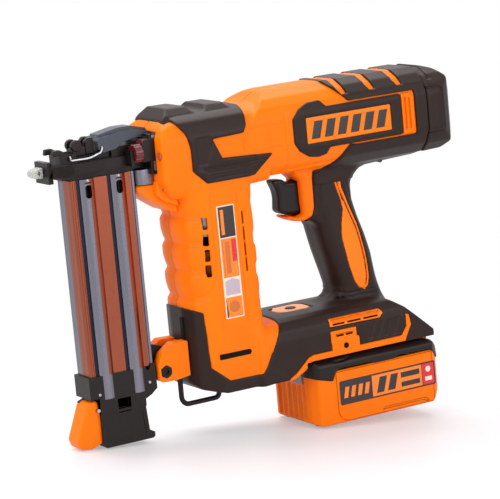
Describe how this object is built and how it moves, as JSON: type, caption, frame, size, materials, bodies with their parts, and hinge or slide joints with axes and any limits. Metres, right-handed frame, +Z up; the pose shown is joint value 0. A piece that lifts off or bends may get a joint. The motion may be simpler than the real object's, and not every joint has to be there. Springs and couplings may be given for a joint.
{
  "type": "brad nailer",
  "caption": "Cordless brad nailer: barrel over a motor column and a leaning pistol grip, slide-on battery, ribbed upright magazine and a nose contact with a jam door.",
  "frame": {"origin": "bottom centre of the whole tool's box, level with the battery's feet", "axes": "+X along the drive axis towards the rear cap (brads leave towards -X), +Y across the tool, +Z up"},
  "size_m": [0.363, 0.076, 0.2688],
  "materials": {
    "orange_shell": "moulded glass-filled nylon, fine satin texture",
    "black_overmold": "soft thermoplastic overmould, fine matt texture",
    "black_plastic": "moulded nylon, satin",
    "black_button": "smooth button",
    "red_button": "smooth button",
    "screw_steel": "black phosphate steel",
    "circuit_board": "solder-masked board",
    "cell_wrap": "heat-shrink film",
    "spring_steel": "drawn spring wire",
    "turned_aluminium": "turned",
    "cast_aluminium": "die cast",
    "bare_aluminium": "extruded and anodised",
    "seal_rubber": "nitrile rubber",
    "tool_steel": "ground tool steel",
    "bearing_steel": "polished rings",
    "motor_stack": "varnished laminations and winding",
    "black_steel": "black oxide steel",
    "clear_tip": "translucent soft plastic",
    "red_dial": "moulded thumb wheel",
    "lens_plastic": "clear lens"
  },
  "bodies": {
    "root": {"housing_left": "orange_shell", "housing_right": "orange_shell", "front_overmold": "black_overmold", "rear_overmold": "black_overmold", "rear_cap": "black_overmold", "grip_overmold": "black_overmold", "boot_overmold": "black_overmold", "base_overmold": "black_overmold", "name_plates": "orange_shell", "mode_panel": "orange_shell", "housing_screws": "screw_steel", "control_board": "circuit_board", "terminal_block": "black_plastic", "cylinder": "turned_aluminium", "gas_chamber": "turned_aluminium", "bumper": "seal_rubber", "ball_bearings": "bearing_steel", "gear_case": "cast_aluminium", "stator": "motor_stack", "ring_gear": "tool_steel", "nosepiece": "black_steel", "nose_screws": "screw_steel", "contact_spring": "spring_steel", "led_lenses": "lens_plastic", "magazine_rail": "black_steel", "pusher_spring": "spring_steel", "magazine_bracket": "orange_shell", "bracket_bolt": "screw_steel", "rest_loop": "black_steel", "trigger_spring": "spring_steel", "trigger_switch": "black_plastic"},
    "driver": {"piston": "turned_aluminium", "piston_seal": "seal_rubber", "driver_blade": "tool_steel"},
    "lifter": {"lifter_wheel": "tool_steel"},
    "carrier": {"planet_carrier": "tool_steel"},
    "planet_1": {"planet_gear_1": "tool_steel"},
    "planet_2": {"planet_gear_2": "tool_steel"},
    "planet_3": {"planet_gear_3": "tool_steel"},
    "motor": {"rotor": "motor_stack", "motor_shaft": "tool_steel", "cooling_fan": "black_plastic"},
    "nose_contact": {"contact_arm": "black_steel", "no_mar_tip": "clear_tip"},
    "depth_dial": {"depth_wheel": "red_dial"},
    "nose_door": {"jam_door": "black_steel"},
    "door_latch": {"jam_latch": "black_plastic"},
    "door_wire": {"latch_wire": "spring_steel"},
    "magazine": {"magazine_cover": "bare_aluminium", "magazine_end_cap": "black_plastic"},
    "magazine_catch": {"magazine_latch": "orange_shell"},
    "brad_pusher": {"pusher": "black_steel"},
    "battery": {"battery_case": "orange_shell", "battery_top": "black_plastic", "battery_cells": "cell_wrap", "battery_board": "circuit_board", "battery_button_spring": "spring_steel"},
    "battery_release": {"battery_button": "red_button"},
    "mode_key": {"mode_button": "black_button"},
    "trigger_body": {"trigger": "black_plastic"}
  },
  "joints": [
    {"name": "driver_slide", "type": "slide", "parent": "root", "child": "driver", "axis": [-1, 0, 0], "range_m": [0, 0.074]},
    {"name": "lifter_spin", "type": "hinge", "parent": "root", "child": "lifter", "pos_m": [-0.02, 0.014, 0.234], "axis": [0, 0, 1], "range_deg": [-360, 5]},
    {"name": "carrier_spin", "type": "hinge", "parent": "root", "child": "carrier", "pos_m": [-0.041, -0.00297, 0.166], "axis": [0, 0, 1], "range_deg": [-5, 385]},
    {"name": "motor_spin", "type": "hinge", "parent": "root", "child": "motor", "pos_m": [-0.041, -0.00297, 0.166], "axis": [0, 0, 1], "range_deg": [-20, 1530]},
    {"name": "planet_spin_1", "type": "hinge", "parent": "carrier", "child": "planet_1", "pos_m": [-0.029, -0.00297, 0.181], "axis": [0, 0, 1], "range_deg": [-1150, 20]},
    {"name": "planet_spin_2", "type": "hinge", "parent": "carrier", "child": "planet_2", "pos_m": [-0.047, 0.00742, 0.181], "axis": [0, 0, 1], "range_deg": [-1150, 20]},
    {"name": "planet_spin_3", "type": "hinge", "parent": "carrier", "child": "planet_3", "pos_m": [-0.047, -0.01336, 0.181], "axis": [0, 0, 1], "range_deg": [-1150, 20]},
    {"name": "contact_slide", "type": "slide", "parent": "root", "child": "nose_contact", "axis": [1, 0, 0], "range_m": [0, 0.008], "stiffness_N_per_m": 600, "springref_m": -0.01, "deforming": ["contact_spring"]},
    {"name": "depth_turn", "type": "hinge", "parent": "nose_contact", "child": "depth_dial", "pos_m": [-0.101, -0.0165, 0.237], "axis": [1, 0, 0], "range_deg": [-360, 360]},
    {"name": "nose_door_hinge", "type": "hinge", "parent": "root", "child": "nose_door", "pos_m": [-0.154, 0, 0.2406], "axis": [0, -1, 0], "range_deg": [0, 55]},
    {"name": "door_latch_hinge", "type": "hinge", "parent": "nose_door", "child": "door_latch", "pos_m": [-0.122, 0, 0.246], "axis": [0, -1, 0], "range_deg": [0, 75]},
    {"name": "door_wire_hinge", "type": "hinge", "parent": "nose_door", "child": "door_wire", "pos_m": [-0.125, 0, 0.2455], "axis": [0, 1, 0], "range_deg": [0, 40]},
    {"name": "magazine_slide", "type": "slide", "parent": "root", "child": "magazine", "axis": [0, 0, -1], "range_m": [0, 0.1]},
    {"name": "magazine_catch_hinge", "type": "hinge", "parent": "magazine", "child": "magazine_catch", "pos_m": [-0.151, 0, 0.048], "axis": [0, 1, 0], "range_deg": [0, 14], "stiffness_Nm_per_rad": 0.15, "springref_deg": -17.19},
    {"name": "pusher_slide", "type": "slide", "parent": "root", "child": "brad_pusher", "axis": [0, 0, -1], "range_m": [0, 0.11], "stiffness_N_per_m": 12, "springref_m": -0.25, "deforming": ["pusher_spring"]},
    {"name": "battery_slide", "type": "slide", "parent": "root", "child": "battery", "axis": [1, 0, 0], "range_m": [0, 0.12]},
    {"name": "battery_release_press", "type": "slide", "parent": "battery", "child": "battery_release", "axis": [0, 0, -1], "range_m": [0, 0.0025], "stiffness_N_per_m": 900, "springref_m": -0.002, "deforming": ["battery_button_spring"]},
    {"name": "mode_press", "type": "slide", "parent": "root", "child": "mode_key", "axis": [0, 0, -1], "range_m": [0, 0.0012], "stiffness_N_per_m": 600, "springref_m": -0.001},
    {"name": "trigger_pull", "type": "slide", "parent": "root", "child": "trigger_body", "axis": [1, 0, 0], "range_m": [0, 0.006], "stiffness_N_per_m": 900, "springref_m": -0.003, "deforming": ["trigger_spring"]}
  ],
  "couplings": [
    {"joint": "lifter_spin", "follows": "driver_slide", "rad_per_m": -83.333},
    {"joint": "carrier_spin", "follows": "driver_slide", "rad_per_m": 89.744},
    {"joint": "motor_spin", "follows": "driver_slide", "rad_per_m": 358.97},
    {"joint": "planet_spin_1", "follows": "driver_slide", "rad_per_m": -269.23},
    {"joint": "planet_spin_2", "follows": "driver_slide", "rad_per_m": -269.23},
    {"joint": "planet_spin_3", "follows": "driver_slide", "rad_per_m": -269.23}
  ]
}
